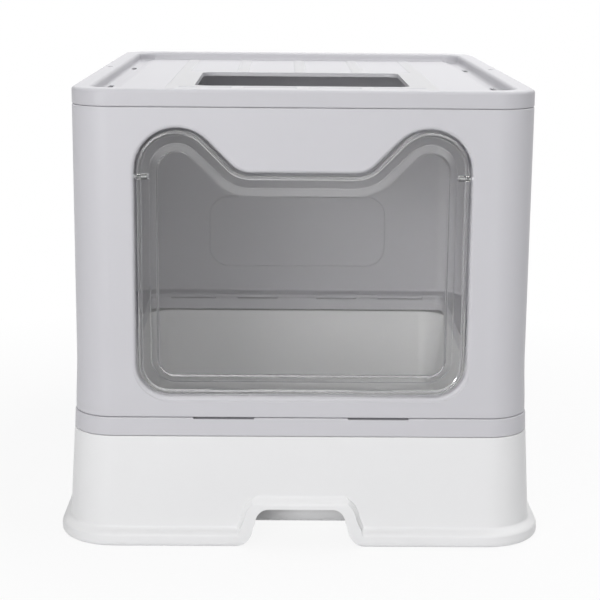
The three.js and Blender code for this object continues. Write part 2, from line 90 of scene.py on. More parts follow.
# %% World
def ray_kinds(nodes, links):
    """Two switches: 1 on a glossy ray, and 1 on a camera or transmission ray."""
    path = nodes.new("ShaderNodeLightPath")
    looked_at = nodes.new("ShaderNodeMath")
    looked_at.operation = "MAXIMUM"
    links.new(path.outputs["Is Camera Ray"], looked_at.inputs[0])
    links.new(path.outputs["Is Transmission Ray"], looked_at.inputs[1])
    return path.outputs["Is Glossy Ray"], looked_at.outputs[0]


def plain_light(nodes, strength):
    """A white background of a strength."""
    light = nodes.new("ShaderNodeBackground")
    light.inputs["Color"].default_value = (1, 1, 1, 1)
    light.inputs["Strength"].default_value = strength
    return light


world = bpy.data.worlds.new("white_room")
scene.world = world
world.use_nodes = True
nodes, links = world.node_tree.nodes, world.node_tree.links
nodes.clear()
room_light, room_seen, room_mirrored = [plain_light(nodes, strength) for strength in (0.27, 1.0, 1.0)]
direction = nodes.new("ShaderNodeTexCoord")
split = nodes.new("ShaderNodeSeparateXYZ")
links.new(direction.outputs["Generated"], split.inputs[0])
height = nodes.new("ShaderNodeMapRange")
height.interpolation_type = "SMOOTHSTEP"
height.inputs["From Min"].default_value = 0.0
height.inputs["From Max"].default_value = 0.8
height.inputs["To Min"].default_value = 0.6
height.inputs["To Max"].default_value = 3.4
links.new(split.outputs["Z"], height.inputs["Value"])
links.new(height.outputs["Result"], room_mirrored.inputs["Color"])
mirrored_ray, looked_at_ray = ray_kinds(nodes, links)
before = room_light
for switch, light in ((mirrored_ray, room_mirrored), (looked_at_ray, room_seen)):
    choose = nodes.new("ShaderNodeMixShader")
    links.new(switch, choose.inputs["Fac"])
    links.new(before.outputs[0], choose.inputs[1])
    links.new(light.outputs[0], choose.inputs[2])
    before = choose
world_out = nodes.new("ShaderNodeOutputWorld")
links.new(before.outputs[0], world_out.inputs["Surface"])
scene.view_settings.view_transform = "Standard"
print("room light", room_light.inputs["Strength"].default_value)

# %% [markdown]
# Three soft lamps shape the box. The key lamp stands in front at the left, and just high enough to
# shine through the doorway onto the floor of the pan, so the inside is brightest at the right. The
# fill lamp in the middle evens out the front, and the large lamp overhead lights the lid and the
# right-hand side. A lamp isn't seen by the camera.

# %% Lamps
def soft_lamp(name, place, aim, width, height, power):
    """A rectangular area lamp at a place, facing an aim."""
    data = bpy.data.lights.new(name, "AREA")
    data.shape = "RECTANGLE"
    data.size, data.size_y, data.energy = width, height, power
    lamp = bpy.data.objects.new(name, data)
    scene.collection.objects.link(lamp)
    lamp.location = place
    toward = Matrix.Translation(aim).translation - lamp.location
    lamp.rotation_euler = toward.to_track_quat("-Z", "Y").to_euler()
    lamp.visible_camera = False


soft_lamp("key_lamp", (-1.15, -2.65, 0.74), (0, 0, 0.2), 1.2, 0.6, 30)
soft_lamp("fill_lamp", (0.1, -2.6, 0.9), (0, 0, 0.2), 1.6, 1.0, 13)
soft_lamp("overhead_lamp", (0.7, 0.5, 2.1), (0, 0, 0.3), 2.4, 1.6, 25)

# %% [markdown]
# The floor is a pale sheet of paper. Where it is looked at, or mirrored, a white glow is mixed in, so
# that it runs into the white room without a line. Near the box a tenth of the paper's own shading
# is left in, which keeps a soft shadow, and the glow takes over completely with distance.

# %% Floor
floor_bm = bmesh.new()
bmesh.ops.create_grid(floor_bm, x_segments=1, y_segments=1, size=4)
bmesh.ops.translate(floor_bm, vec=(0, 0, -0.0004), verts=floor_bm.verts[:])
floor_mesh = bpy.data.meshes.new("floor")
floor_bm.to_mesh(floor_mesh)
floor_bm.free()
floor = bpy.data.objects.new("floor", floor_mesh)
scene.collection.objects.link(floor)
floor_finish = bpy.data.materials.new("pale_floor")
floor_finish.use_nodes = True
nodes, links = floor_finish.node_tree.nodes, floor_finish.node_tree.links
nodes.clear()
paper = nodes.new("ShaderNodeBsdfDiffuse")
paper.inputs["Color"].default_value = (0.86, 0.86, 0.87, 1)
glow = nodes.new("ShaderNodeEmission")
glow.inputs["Color"].default_value = (1, 1, 1, 1)
glow.inputs["Strength"].default_value = 1.0
place = nodes.new("ShaderNodeTexCoord")
distance = nodes.new("ShaderNodeVectorMath")
distance.operation = "LENGTH"
links.new(place.outputs["Object"], distance.inputs[0])
fade = nodes.new("ShaderNodeMapRange")
fade.inputs["From Min"].default_value = 0.3
fade.inputs["From Max"].default_value = 0.7
fade.inputs["To Min"].default_value = 0.9
links.new(distance.outputs["Value"], fade.inputs["Value"])
share = nodes.new("ShaderNodeMath")
share.operation = "MULTIPLY"
either = nodes.new("ShaderNodeMath")
either.operation = "MAXIMUM"
for slot, switch in enumerate(ray_kinds(nodes, links)):
    links.new(switch, either.inputs[slot])
links.new(either.outputs[0], share.inputs[0])
links.new(fade.outputs["Result"], share.inputs[1])
blend = nodes.new("ShaderNodeMixShader")
links.new(share.outputs[0], blend.inputs["Fac"])
links.new(paper.outputs[0], blend.inputs[1])
links.new(glow.outputs[0], blend.inputs[2])
floor_out = nodes.new("ShaderNodeOutputMaterial")
links.new(blend.outputs[0], floor_out.inputs["Surface"])
floor_mesh.materials.append(floor_finish)
print("floor", floor.dimensions[:2])

# %% [markdown]
# The two opaque plastics are satin mouldings. A fine noise in the bump gives the skin of a textured
# mould, and a broad faint one moves the roughness and the colour, as on any large moulding. The
# tops of the lid's ribs are smoother, and lighter as a painted highlight. They need no mesh of their
# own: a band of heights on Object coordinates, kept to faces that look up, picks them out.

# %% Satin plastics
def satin_plastic(name, colour, roughness):
    """A moulded satin plastic with a fine skin and a faint cloud in its colour and gloss."""
    finish = bpy.data.materials.new(name)
    finish.use_nodes = True
    nodes, links = finish.node_tree.nodes, finish.node_tree.links
    shader = nodes["Principled BSDF"]
    shader.inputs["IOR"].default_value = 1.46
    place = nodes.new("ShaderNodeTexCoord")
    cloud = nodes.new("ShaderNodeTexNoise")
    cloud.inputs["Scale"].default_value = 9
    cloud.inputs["Detail"].default_value = 3
    links.new(place.outputs["Object"], cloud.inputs["Vector"])
    tint = nodes.new("ShaderNodeMix")
    tint.data_type = "RGBA"
    tint.inputs["A"].default_value = (*[0.985 * c for c in colour], 1)
    tint.inputs["B"].default_value = (*[min(1.012 * c, 1) for c in colour], 1)
    links.new(cloud.outputs["Fac"], tint.inputs["Factor"])
    links.new(tint.outputs["Result"], shader.inputs["Base Color"])
    gloss = nodes.new("ShaderNodeMapRange")
    gloss.inputs["To Min"].default_value = roughness - 0.04
    gloss.inputs["To Max"].default_value = roughness + 0.04
    links.new(cloud.outputs["Fac"], gloss.inputs["Value"])
    links.new(gloss.outputs["Result"], shader.inputs["Roughness"])
    skin = nodes.new("ShaderNodeTexNoise")
    skin.inputs["Scale"].default_value = 1500
    skin.inputs["Detail"].default_value = 2
    links.new(place.outputs["Object"], skin.inputs["Vector"])
    bump = nodes.new("ShaderNodeBump")
    bump.inputs["Strength"].default_value = 0.05
    bump.inputs["Distance"].default_value = 0.0002
    links.new(skin.outputs["Fac"], bump.inputs["Height"])
    links.new(bump.outputs["Normal"], shader.inputs["Normal"])
    return finish


def polished_with_painted_highlight(finish, bottom, top, roughness, colour):
    """Makes a satin plastic smoother, with a painted highlight, where it faces up between two heights."""
    nodes, links = finish.node_tree.nodes, finish.node_tree.links
    shader = nodes["Principled BSDF"]
    place = nodes.new("ShaderNodeTexCoord")
    split = nodes.new("ShaderNodeSeparateXYZ")
    links.new(place.outputs["Object"], split.inputs[0])
    level = nodes.new("ShaderNodeMath")
    level.operation = "COMPARE"
    level.inputs[1].default_value = (bottom + top) / 2
    level.inputs[2].default_value = (top - bottom) / 2
    links.new(split.outputs["Z"], level.inputs[0])
    facing = nodes.new("ShaderNodeNewGeometry")
    turned = nodes.new("ShaderNodeSeparateXYZ")
    links.new(facing.outputs["Normal"], turned.inputs[0])
    up = nodes.new("ShaderNodeMath")
    up.operation = "GREATER_THAN"
    up.inputs[1].default_value = 0.9
    links.new(turned.outputs["Z"], up.inputs[0])
    band = nodes.new("ShaderNodeMath")
    band.operation = "MULTIPLY"
    links.new(level.outputs[0], band.inputs[0])
    links.new(up.outputs[0], band.inputs[1])
    gloss = nodes.new("ShaderNodeMix")
    gloss.inputs["B"].default_value = roughness
    links.new(band.outputs[0], gloss.inputs["Factor"])
    links.new(shader.inputs["Roughness"].links[0].from_socket, gloss.inputs["A"])
    links.new(gloss.outputs["Result"], shader.inputs["Roughness"])
    # The lighter colour on the up-facing band is a painted highlight; the smoother gloss is the real finish.
    painted_highlight = nodes.new("ShaderNodeMix")
    painted_highlight.data_type = "RGBA"
    painted_highlight.inputs["B"].default_value = (*colour, 1)
    links.new(band.outputs[0], painted_highlight.inputs["Factor"])
    links.new(shader.inputs["Base Color"].links[0].from_socket, painted_highlight.inputs["A"])
    links.new(painted_highlight.outputs["Result"], shader.inputs["Base Color"])


hood_plastic = satin_plastic("grey_satin_plastic", (0.555, 0.55, 0.578), 0.42)
# The lid's grey is the hood's grey made a little darker all over, which is painted shade on the lid.
lid_grey_with_painted_shade = satin_plastic("grey_plastic_with_painted_shade", (0.524, 0.519, 0.546), 0.42)
pan_plastic = satin_plastic("white_satin_plastic", (0.78, 0.78, 0.785), 0.38)
print("finishes:", hood_plastic.name, lid_grey_with_painted_shade.name, pan_plastic.name)

# %% [markdown]
# The flap is smoked acrylic, clear and polished. Light is filtered on the way in and on the way
# out, so the tint is set as the shader's own colour. A shadow ray sees a plain tinted pane, because
# the lamps have to light the inside of the box through it.

# %% Clear plastics
def clear_plastic(name, colour, shade, roughness):
    """A see-through plastic that also lets the lamps through, tinted."""
    finish = bpy.data.materials.new(name)
    finish.use_nodes = True
    nodes, links = finish.node_tree.nodes, finish.node_tree.links
    shader = nodes["Principled BSDF"]
    shader.inputs["Base Color"].default_value = (*colour, 1)
    shader.inputs["Roughness"].default_value = roughness
    shader.inputs["IOR"].default_value = 1.49
    shader.inputs["Transmission Weight"].default_value = 1.0
    pane = nodes.new("ShaderNodeBsdfTransparent")
    pane.inputs["Color"].default_value = (*shade, 1)
    path = nodes.new("ShaderNodeLightPath")
    choose = nodes.new("ShaderNodeMixShader")
    links.new(path.outputs["Is Shadow Ray"], choose.inputs["Fac"])
    links.new(shader.outputs[0], choose.inputs[1])
    links.new(pane.outputs[0], choose.inputs[2])
    links.new(choose.outputs[0], nodes["Material Output"].inputs["Surface"])
    return finish


smoked_plastic = clear_plastic("smoked_acrylic", (0.89, 0.89, 0.88), (0.97, 0.97, 0.97), 0.03)
pin_plastic = clear_plastic("clear_pin_plastic", (0.97, 0.975, 0.98), (0.95, 0.95, 0.95), 0.05)
print("finishes:", smoked_plastic.name, pin_plastic.name)

# %% [markdown]
# Every piece is drawn in millimetres and brought to metres when it is finished. The overall sizes
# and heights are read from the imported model, so the finer pieces always fit it. The small sizes,
# such as rounds and wall thicknesses, are the moulding's own and are named where they are used.

# %% Measures
def span(node):
    """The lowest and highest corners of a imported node, in millimetres."""
    low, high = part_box(node)
    return low * 1000, high * 1000


SEAM = 0.3
WALL = 2.5
EDGE = 1.1
BEYOND = 5
frame_low, frame_high = span("lower_frame")
front_low, front_high = span("front_panel")
flap_low, flap_high = span("door_flap")
hood_width = frame_high.x - frame_low.x
hood_depth = frame_high.y - frame_low.y
front = -hood_depth / 2
pan_top = span("base_pan")[1].z
frame_bottom = pan_top + SEAM
frame_top = front_low.z - SEAM
panel_bottom, panel_top = front_low.z, front_high.z
lid_bottom, lid_top = panel_top + SEAM, span("top_lid")[1].z
print("hood", round(hood_width), "x", round(hood_depth), "mm, panels", round(panel_top - panel_bottom), "mm")

# %% [markdown]
# An outline is a chain of arcs joined by straight edges. Each arc starts as one vertex, and Spin
# carries it round the arc's centre and leaves an edge at every step. The chain is then filled with
# one flat face. This is how a draughtsman builds a rounded shape, and it keeps every arc true.

# %% Outlines
ARC_STEPS = 14


def outline(bm, arcs, steps=ARC_STEPS):
    """One flat face inside a chain of arcs, each (x, y, radius, from, to) with angles in degrees."""
    ends = []
    for x, y, radius, start, end in arcs:
        turn = math.radians(start)
        first = bm.verts.new((x + radius * math.cos(turn), y + radius * math.sin(turn), 0))
        last = first
        if start != end:
            spun = bmesh.ops.spin(
                bm, geom=[first], cent=(x, y, 0), axis=(0, 0, 1), dvec=(0, 0, 0),
                angle=math.radians(end - start), steps=steps, use_merge=False,
            )
            last = next(part for part in spun["geom_last"] if isinstance(part, bmesh.types.BMVert))
        ends.append((first, last))
    for (_, last), (first, _) in zip(ends, ends[1:] + ends[:1]):
        bm.edges.new((last, first))
    face = bmesh.ops.contextual_create(bm, geom=bm.edges[:])["faces"][0]
    face.normal_update()
    if face.normal.z < 0:
        face.normal_flip()
    return face


def rounded_rectangle(width, depth, radius, x=0, y=0):
    """The arcs of a rounded rectangle about a point."""
    across, along = width / 2 - radius, depth / 2 - radius
    return [
        (x + across, y - along, radius, -90, 0),
        (x + across, y + along, radius, 0, 90),
        (x - across, y + along, radius, 90, 180),
        (x - across, y - along, radius, 180, 270),
    ]


CORNER = 33


def hood_arcs(grow, radius=None):
    """The outline that the frame, the panels and the lid share, grown outwards."""
    return rounded_rectangle(hood_width + 2 * grow, hood_depth + 2 * grow, radius or CORNER + grow)


print("an arc has", ARC_STEPS, "steps")

# %% [markdown]
# A body is raised from its outline. Inset Region with a depth moves the top face up, in or out, and
# leaves a band of side faces behind, so a list of heights and offsets draws rounds, drafts and
# beads all the way round at once. The foot is then closed. Solids are joined and cut with the
# Manifold solver of the Boolean modifier, as a toolmaker adds and sinks steel.

# %% Bodies
def as_object(bm, name):
    """The bmesh as an object of the scene."""
    mesh = bpy.data.meshes.new(name)
    bmesh.ops.recalc_face_normals(bm, faces=bm.faces[:])
    bm.to_mesh(mesh)
    bm.free()
    made = bpy.data.objects.new(name, mesh)
    scene.collection.objects.link(made)
    return made


def raised(arcs, levels, upright=False, steps=ARC_STEPS):
    """A closed body from an outline, through (height, grow) levels. The outline is the first level's.
    An upright body stands on its edge and faces the front, and its heights run towards the front."""
    bm = bmesh.new()
    face = outline(bm, arcs, steps)
    height, grow = levels[0]
    bmesh.ops.translate(bm, vec=(0, 0, height), verts=face.verts[:])
    for next_height, next_grow in levels[1:]:
        bmesh.ops.inset_region(
            bm, faces=[face], use_boundary=True, use_even_offset=True,
            thickness=grow - next_grow, depth=next_height - height,
        )
        height, grow = next_height, next_grow
    bmesh.ops.holes_fill(bm, edges=[edge for edge in bm.edges if edge.is_boundary], sides=0)
    if upright:
        bmesh.ops.rotate(bm, verts=bm.verts[:], cent=(0, 0, 0), matrix=Matrix.Rotation(math.pi / 2, 3, "X"))
    return as_object(bm, "body")


def hood_body(levels, radius=None):
    """A body on the hood's outline, through (height, grow) levels."""
    return raised(hood_arcs(levels[0][1], radius), levels)


def block(x0, x1, y0, y1, z0, z1):
    """A box between two planes on each axis."""
    bm = bmesh.new()
    bmesh.ops.create_cube(bm, size=1)
    bmesh.ops.scale(bm, vec=(abs(x1 - x0), abs(y1 - y0), abs(z1 - z0)), verts=bm.verts[:])
    bmesh.ops.translate(bm, vec=((x0 + x1) / 2, (y0 + y1) / 2, (z0 + z1) / 2), verts=bm.verts[:])
    return as_object(bm, "block")


def rod(radius, length, middle, axis="Z"):
    """A cylinder about a middle point, along X or Z."""
    bm = bmesh.new()
    bmesh.ops.create_cone(bm, cap_ends=True, segments=48, radius1=radius, radius2=radius, depth=length)
    if axis == "X":
        bmesh.ops.rotate(bm, verts=bm.verts[:], cent=(0, 0, 0), matrix=Matrix.Rotation(math.pi / 2, 3, "Y"))
    bmesh.ops.translate(bm, vec=middle, verts=bm.verts[:])
    return as_object(bm, "rod")


def combine(operation, body, *tools):
    """Joins tools to a body, cuts them from it, or keeps what they share. The tools are used up."""
    for tool in tools:
        modifier = body.modifiers.new("combine", "BOOLEAN")
        modifier.operation, modifier.solver, modifier.object = operation, "MANIFOLD", tool
        shape = bpy.data.meshes.new_from_object(body.evaluated_get(bpy.context.evaluated_depsgraph_get()))
        body.modifiers.clear()
        body.data = shape
        bpy.data.objects.remove(tool)
    return body


def join(body, *tools):
    return combine("UNION", body, *tools)


def cut(body, *tools):
    return combine("DIFFERENCE", body, *tools)


def common(body, *tools):
    return combine("INTERSECT", body, *tools)


def mirrored(body, axis):
    """A copy of a body on the other side of the middle."""
    bm = bmesh.new()
    bm.from_mesh(body.data)
    flip = (-1, 1, 1) if axis == "X" else (1, -1, 1)
    bmesh.ops.scale(bm, vec=flip, verts=bm.verts[:])
    return as_object(bm, body.name)


def mirrored_away(body, axis):
    """The same, and the first body is used up."""
    other = mirrored(body, axis)
    bpy.data.objects.remove(body)
    return other


def quarter(radius, steps=5):
    """A quarter round as (rise, lean in) pairs, from an upright wall over to a flat top."""
    turns = [math.pi / 2 * step / steps for step in range(steps + 1)]
    return [(radius * math.sin(turn), radius * (1 - math.cos(turn))) for turn in turns]


print("helpers are ready")

# %% [markdown]
# A finished piece is cleaned, brought to metres and shaded smooth, with a hard line wherever two
# faces meet at more than a set angle. Weighted Normal makes the large flat faces win over the
# small rounds beside them, so that they shade flat.

# %% Finishing a piece
SHARP = math.radians(32)


def finished(body, name, body_name, slot, finish, *nodes):
    """Names a piece, gives it its finish and its place in the frame, and reports its mesh."""
    bm = bmesh.new()
    bm.from_mesh(body.data)
    bmesh.ops.remove_doubles(bm, verts=bm.verts[:], dist=0.002)
    bmesh.ops.dissolve_degenerate(bm, edges=bm.edges[:], dist=0.001)
    bmesh.ops.scale(bm, vec=(0.001, 0.001, 0.001), verts=bm.verts[:])
    for face in bm.faces:
        face.smooth = True
    for edge in bm.edges:
        edge.smooth = edge.is_manifold and edge.calc_face_angle(0) < SHARP
    open_edges = sum(not edge.is_manifold for edge in bm.edges)
    print(name, len(bm.faces), "faces,", open_edges, "open edges,", round(bm.calc_volume() * 1e6, 1), "cm3")
    bm.to_mesh(body.data)
    bm.free()
    body.name = body.data.name = name
    body.data.materials.clear()
    body.data.materials.append(finish)
    shading = body.modifiers.new("flat faces first", "WEIGHTED_NORMAL")
    shading.keep_sharp = True
    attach(body, body_name)
    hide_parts(*nodes)


# %% [markdown]
# The litter pan is one white moulding with two walls. The inner wall is the tub that holds the
# litter. The outer wall is a skirt that leans out a little as it goes down and ends in a foot with
# a round at the floor and a soft step above. The rim joins them at the top. The skirt is raised
# first, hollowed from below, and the tub is put back and hollowed from above.

# %% Pan: skirt and tub
PAN_WALL = 2.8
SKIRT_STEP, SKIRT_DRAFT = 3, 0.06
FOOT_FLARE, FOOT_TOP, FOOT_ROUND, FOOT_EASE = 7.1, 13, 5, 3.5
WAVE_STEPS = 8
RIM = 24
TUB_DRAFT = 0.16
TUB_ROUND = 12
TUB_CORNER = 30
TUB_FLOOR = 2.4


def skirt_grow(height):
    """How far the skirt's face stands outside the hood's outline at a height."""
    return SKIRT_STEP + (pan_top - height) * SKIRT_DRAFT


def soft_step(middle, reach, flare):
    """Heights and flares of a soft step back to the skirt, along half a cosine wave."""
    levels = []
    for step in range(WAVE_STEPS + 1):
        rise, fall = 2 * step / WAVE_STEPS - 1, math.cos(math.pi * step / WAVE_STEPS)
        levels.append((middle + reach * rise, flare / 2 * (1 + fall)))
    return levels


def foot_levels(inset):
    """The foot: a round from the floor, an upright face and a soft step back to the skirt."""
    levels = [(FOOT_ROUND - rise, FOOT_FLARE - lean) for rise, lean in reversed(quarter(FOOT_ROUND, 6))]
    levels += soft_step(FOOT_TOP, FOOT_EASE, FOOT_FLARE)
    return [(height, skirt_grow(height) + flare - inset) for height, flare in levels]


def tub_body(floor, grow, top):
    """One face of the tub, from a floor up: a rounded foot and a wall with draft."""
    levels = [(floor + TUB_ROUND - rise, grow - lean) for rise, lean in reversed(quarter(TUB_ROUND, 8))]
    levels = [(z, g - RIM - (pan_top - z) * TUB_DRAFT) for z, g in levels + [(top, grow)]]
    return hood_body(levels, max(levels[0][1] + RIM + TUB_CORNER, 2))


skirt_levels = foot_levels(0)
skirt_levels += [(pan_top - EDGE + rise, skirt_grow(pan_top - EDGE) - lean) for rise, lean in quarter(EDGE)]
pan = hood_body(skirt_levels)
inside_levels = foot_levels(PAN_WALL)
inside_levels[0] = (-BEYOND, inside_levels[0][1])
inside_levels.append((pan_top - PAN_WALL, skirt_grow(pan_top) - PAN_WALL))
inside = cut(hood_body(inside_levels), tub_body(TUB_FLOOR, PAN_WALL, pan_top))
print("skirt leans out", round(skirt_grow(0), 1), "mm")

# %% [markdown]
# A notch in the foot lets a hand pull the pan out. Its cutter is one outline with wide toes, pushed
# through the wall. The same outline, made larger and kept to a thin jacket outside the skirt, is the
# raised lip round it. The lip's sides and its top fall back to the skirt along a wave, and below it
# runs into the foot, so that no edge is sharp to the hand.

# %% Pan: hand notch
NOTCH_HEIGHT, NOTCH_TOP, NOTCH_FOOT = 32.5, 76, 80
NOTCH_ROUND, NOTCH_TOE, NOTCH_SLANT = 11, 18, 5
LIP_WIDTH, LIP_PROUD, LIP_EASE, LIP_TOP_EASE, LIP_FOOT, LIP_SPREAD = 11, 4.5, 1.6, 4, 6.5, 2


def notch_arcs(margin, spread=0):
    """The notch's outline, grown by a margin, spread at its foot, and run out below the floor."""
    top, foot = NOTCH_TOP / 2 + margin, NOTCH_FOOT / 2 + margin + spread
    slant = NOTCH_SLANT + 2 * spread
    radius, toe = NOTCH_ROUND + margin, NOTCH_TOE
    high = NOTCH_HEIGHT + margin - radius
    return [
        (-foot - toe, -BEYOND, 0, 0, 0),
        (foot + toe, -BEYOND, 0, 0, 0),
        (foot + toe, toe, toe, 270, 180 + slant),
        (top - radius, high, radius, slant, 90),
        (radius - top, high, radius, 90, 180 - slant),
        (-foot - toe, toe, toe, -slant, -90),
    ]


far_out = -front + skirt_grow(0) + 2 * FOOT_FLARE
lip_top = NOTCH_HEIGHT + LIP_WIDTH
lip_levels = [(-front - PAN_WALL, LIP_WIDTH + LIP_EASE)]
for step in range(WAVE_STEPS + 1):
    fall = LIP_EASE * math.cos(math.pi * step / WAVE_STEPS)
    lip_levels.append((-front + LIP_FOOT + LIP_PROUD * step / WAVE_STEPS, LIP_WIDTH + fall))
lip_levels.append((far_out, LIP_WIDTH - LIP_EASE))
lip = raised(notch_arcs(LIP_WIDTH + LIP_EASE, LIP_SPREAD), lip_levels, upright=True)
jacket_levels = foot_levels(0)[:-WAVE_STEPS]
for height, flare in soft_step(lip_top - LIP_TOP_EASE, LIP_TOP_EASE, LIP_PROUD):
    jacket_levels.append((height, skirt_grow(height) + flare))
lip = common(lip, hood_body(jacket_levels))
notch = raised(notch_arcs(0), [(-front - NOTCH_ROUND, 0), (far_out, 0)], upright=True)
print("notch", NOTCH_FOOT, "mm wide above its toes")

# %% [markdown]
# The frame runs on the pan's rim: a T-shaped tongue under each side of the frame slides in a T-slot
# in the rim. The slot hangs in a channel under the rim, stops short of the front, and is open at
# the back, so that the pan pulls out like a drawer. One section, with and without play, makes both.

# %% Pan: runner slots
RUNNER_INSET, RUNNER_STOP, RUNNER_PLAY = 13, 30, 0.4
NECK_WIDTH, HEAD_WIDTH, NECK_DEPTH, HEAD_DEPTH = 5, 10, 2.6, 3.4
CHANNEL_SIDE, CHANNEL_WALL = 1.4, 2
runner_x = hood_width / 2 - RUNNER_INSET
slot_front = front + RUNNER_STOP


def tongue(side, play, top, y0, y1):
    """The T of a runner, from a height down: a neck and a wider head under it."""
    x, shoulder = side * runner_x, pan_top - NECK_DEPTH
    neck, head = NECK_WIDTH / 2 - play, HEAD_WIDTH / 2 - play
    stem = block(x - neck, x + neck, y0, y1, shoulder - HEAD_DEPTH / 2, top)
    return join(stem, block(x - head, x + head, y0, y1, shoulder - HEAD_DEPTH + play, shoulder - play))


pan = join(pan, lip)
pan = cut(pan, inside, tub_body(TUB_FLOOR + PAN_WALL, 0, pan_top + BEYOND), notch)
channel_floor = pan_top - NECK_DEPTH - HEAD_DEPTH - CHANNEL_WALL
channel_front = slot_front - CHANNEL_WALL
for side in (-1, 1):
    x, half = side * runner_x, HEAD_WIDTH / 2 + CHANNEL_SIDE
    channel = block(x - half, x + half, channel_front, -front - EDGE, channel_floor, pan_top - EDGE)
    pan = join(pan, common(channel, hood_body(skirt_levels)))
    pan = cut(pan, tongue(side, 0, pan_top + BEYOND, slot_front, -front + 2 * BEYOND))
finished(pan, "litter_pan", "pan", "pan_white", pan_plastic, "base_pan")

# %% [markdown]
# The frame is a low ring with a wide ledge, hollow below like any moulding. It stands out a little
# from the panels above it, and its two seams get a small broken edge. The slots in its upper seam,
# and the short barrels on its ledge with a slit behind each, belong to the fold hinges of the front
# and back panels. Its inner wall stops short of the pan, which leaves a dark gap in shadow.

# %% Frame
LEDGE, LEDGE_CORNER = 26, 10
SLOT_LENGTH, SLOT_CENTRE, SLOT_DEPTH = 51, 65, 1.1
BARREL_RADIUS, BARREL_LIFT = 2.2, 0.8
HINGE_GAPS = ((117.5, 51), (44.5, 45))
FRAME_STEPS = (2.8, 2.2)
SHADOW_GAP, GAP_PAST = 1.9, 1
SLIT_DROP, HINGE_SLIT, SLIT_REACH = 0.5, 1.3, 7
SEAM_INSET = 26


def broken_edges(bottom, top, low_grow=0, high_grow=0, between=()):
    """The levels of a wall whose two seams have a small round."""
    low = [(bottom + EDGE - rise, low_grow - lean) for rise, lean in reversed(quarter(EDGE, 4))]
    return low + list(between) + [(top - EDGE + rise, high_grow - lean) for rise, lean in quarter(EDGE, 4)]


def ledge_hole(bottom, top):
    """The large hole inside the ledge."""
    return hood_body([(bottom - BEYOND, -LEDGE), (top + BEYOND, -LEDGE)], LEDGE_CORNER)


ring = hood_body(broken_edges(frame_bottom, frame_top, *FRAME_STEPS))
hollow = hood_body([(frame_bottom - BEYOND, -WALL), (frame_top - WALL, -WALL)])
island_levels = [(frame_bottom - 2 * BEYOND, WALL - LEDGE), (frame_top, WALL - LEDGE)]
island = hood_body(island_levels, LEDGE_CORNER + WALL)
gap_out = WALL + GAP_PAST
gap_levels = [(frame_bottom - BEYOND, gap_out - LEDGE), (frame_bottom + SHADOW_GAP, gap_out - LEDGE)]
gap_under = hood_body(gap_levels, LEDGE_CORNER + gap_out)
slit_top = frame_top - SLIT_DROP
line_levels = [(slit_top - HINGE_SLIT / 2, GAP_PAST - LEDGE), (slit_top, GAP_PAST - LEDGE)]
ring = cut(ring, ledge_hole(frame_bottom, frame_top), cut(hollow, island), gap_under)
ring = cut(ring, hood_body(line_levels, LEDGE_CORNER + GAP_PAST))
for side in (-1, 1):
    ring = join(ring, tongue(side, RUNNER_PLAY, frame_top - WALL / 2, slot_front + 1, -front - SEAM_INSET))
    x, half = side * SLOT_CENTRE, SLOT_LENGTH / 2
    slot = block(x - half, x + half, front - BEYOND, front + 6 * WALL, frame_top - SLOT_DEPTH, frame_top + 1)
    ring = cut(ring, slot)
    for end in (-1, 1):
        y = end * (-front - LEDGE + BARREL_RADIUS + SEAM)
        for centre, length in HINGE_GAPS:
            middle = (side * centre, y, frame_top + BARREL_LIFT)
            ring = join(ring, rod(BARREL_RADIUS, length - 4 * SEAM, middle, "X"))
            x0, x1 = side * centre - length / 2, side * centre + length / 2
            y0, y1 = end * (-front - LEDGE - GAP_PAST), end * (-front - LEDGE + SLIT_REACH)
            ring = cut(ring, block(x0, x1, min(y0, y1), max(y0, y1), slit_top - HINGE_SLIT, slit_top))
finished(ring, "hood_frame", "hood", "shell_grey", hood_plastic, "lower_frame")

# %% [markdown]
# Four panels make the walls. The front and back ones wrap round the corners and stop at an upright
# seam, and each side panel has a strip that tucks behind its neighbours' edges. At the foot they all
# flare out a little, to meet the wider frame. They are cut from one ring, so the seams line up.

# %% Panels: the ring of walls
corner_seam = -front - SEAM_INSET
EASE_HEIGHT, EASE_OUT, LEDGE_ROUND = 48, 1.4, 2
wide = hood_width / 2 + BEYOND
low, high = panel_bottom - BEYOND, panel_top + BEYOND


def panel_ring():
    """The walls as one ring, with a ledge at the foot."""
    turns = reversed(quarter(LEDGE_ROUND, 4))
    inner = [(panel_bottom + WALL + LEDGE_ROUND - rise, -WALL - lean) for rise, lean in turns]
    inner.append((panel_top + BEYOND, -WALL))
    shares = [step / WAVE_STEPS for step in range(1, WAVE_STEPS + 1)]
    ease = [(panel_bottom + share * EASE_HEIGHT, EASE_OUT * (0.5 + 0.5 * math.cos(math.pi * share)))
            for share in shares]
    walls = hood_body(broken_edges(panel_bottom, panel_top, EASE_OUT, 0, ease))
    return cut(walls, hood_body(inner), ledge_hole(panel_bottom, panel_bottom + WALL))


def end_panel():
    """The part of the ring in front of the corner seam, with gaps for the frame's barrels."""
    panel = common(panel_ring(), block(-wide, wide, front - BEYOND, -corner_seam, low, high))
    inboard = front + LEDGE - 2 * BARREL_RADIUS - 1
    for side in (-1, 1):
        for centre, length in HINGE_GAPS:
            x, reach = side * centre, length / 2
            gap = block(x - reach, x + reach, inboard, BEYOND - corner_seam, low, panel_bottom + 2 * WALL)
            panel = cut(panel, gap)
    return panel


print("corner seams at y", round(corner_seam), "mm")

# %% [markdown]
# The doorway's outline has a rounded sill, upright jambs, round ears, shoulders at 45 degrees and a
# flat bar between the ears. The two arcs of a shoulder touch the same slope, so the place of the
# bar's arc follows from the ear's. The flap is drawn on the same outline, moved in.

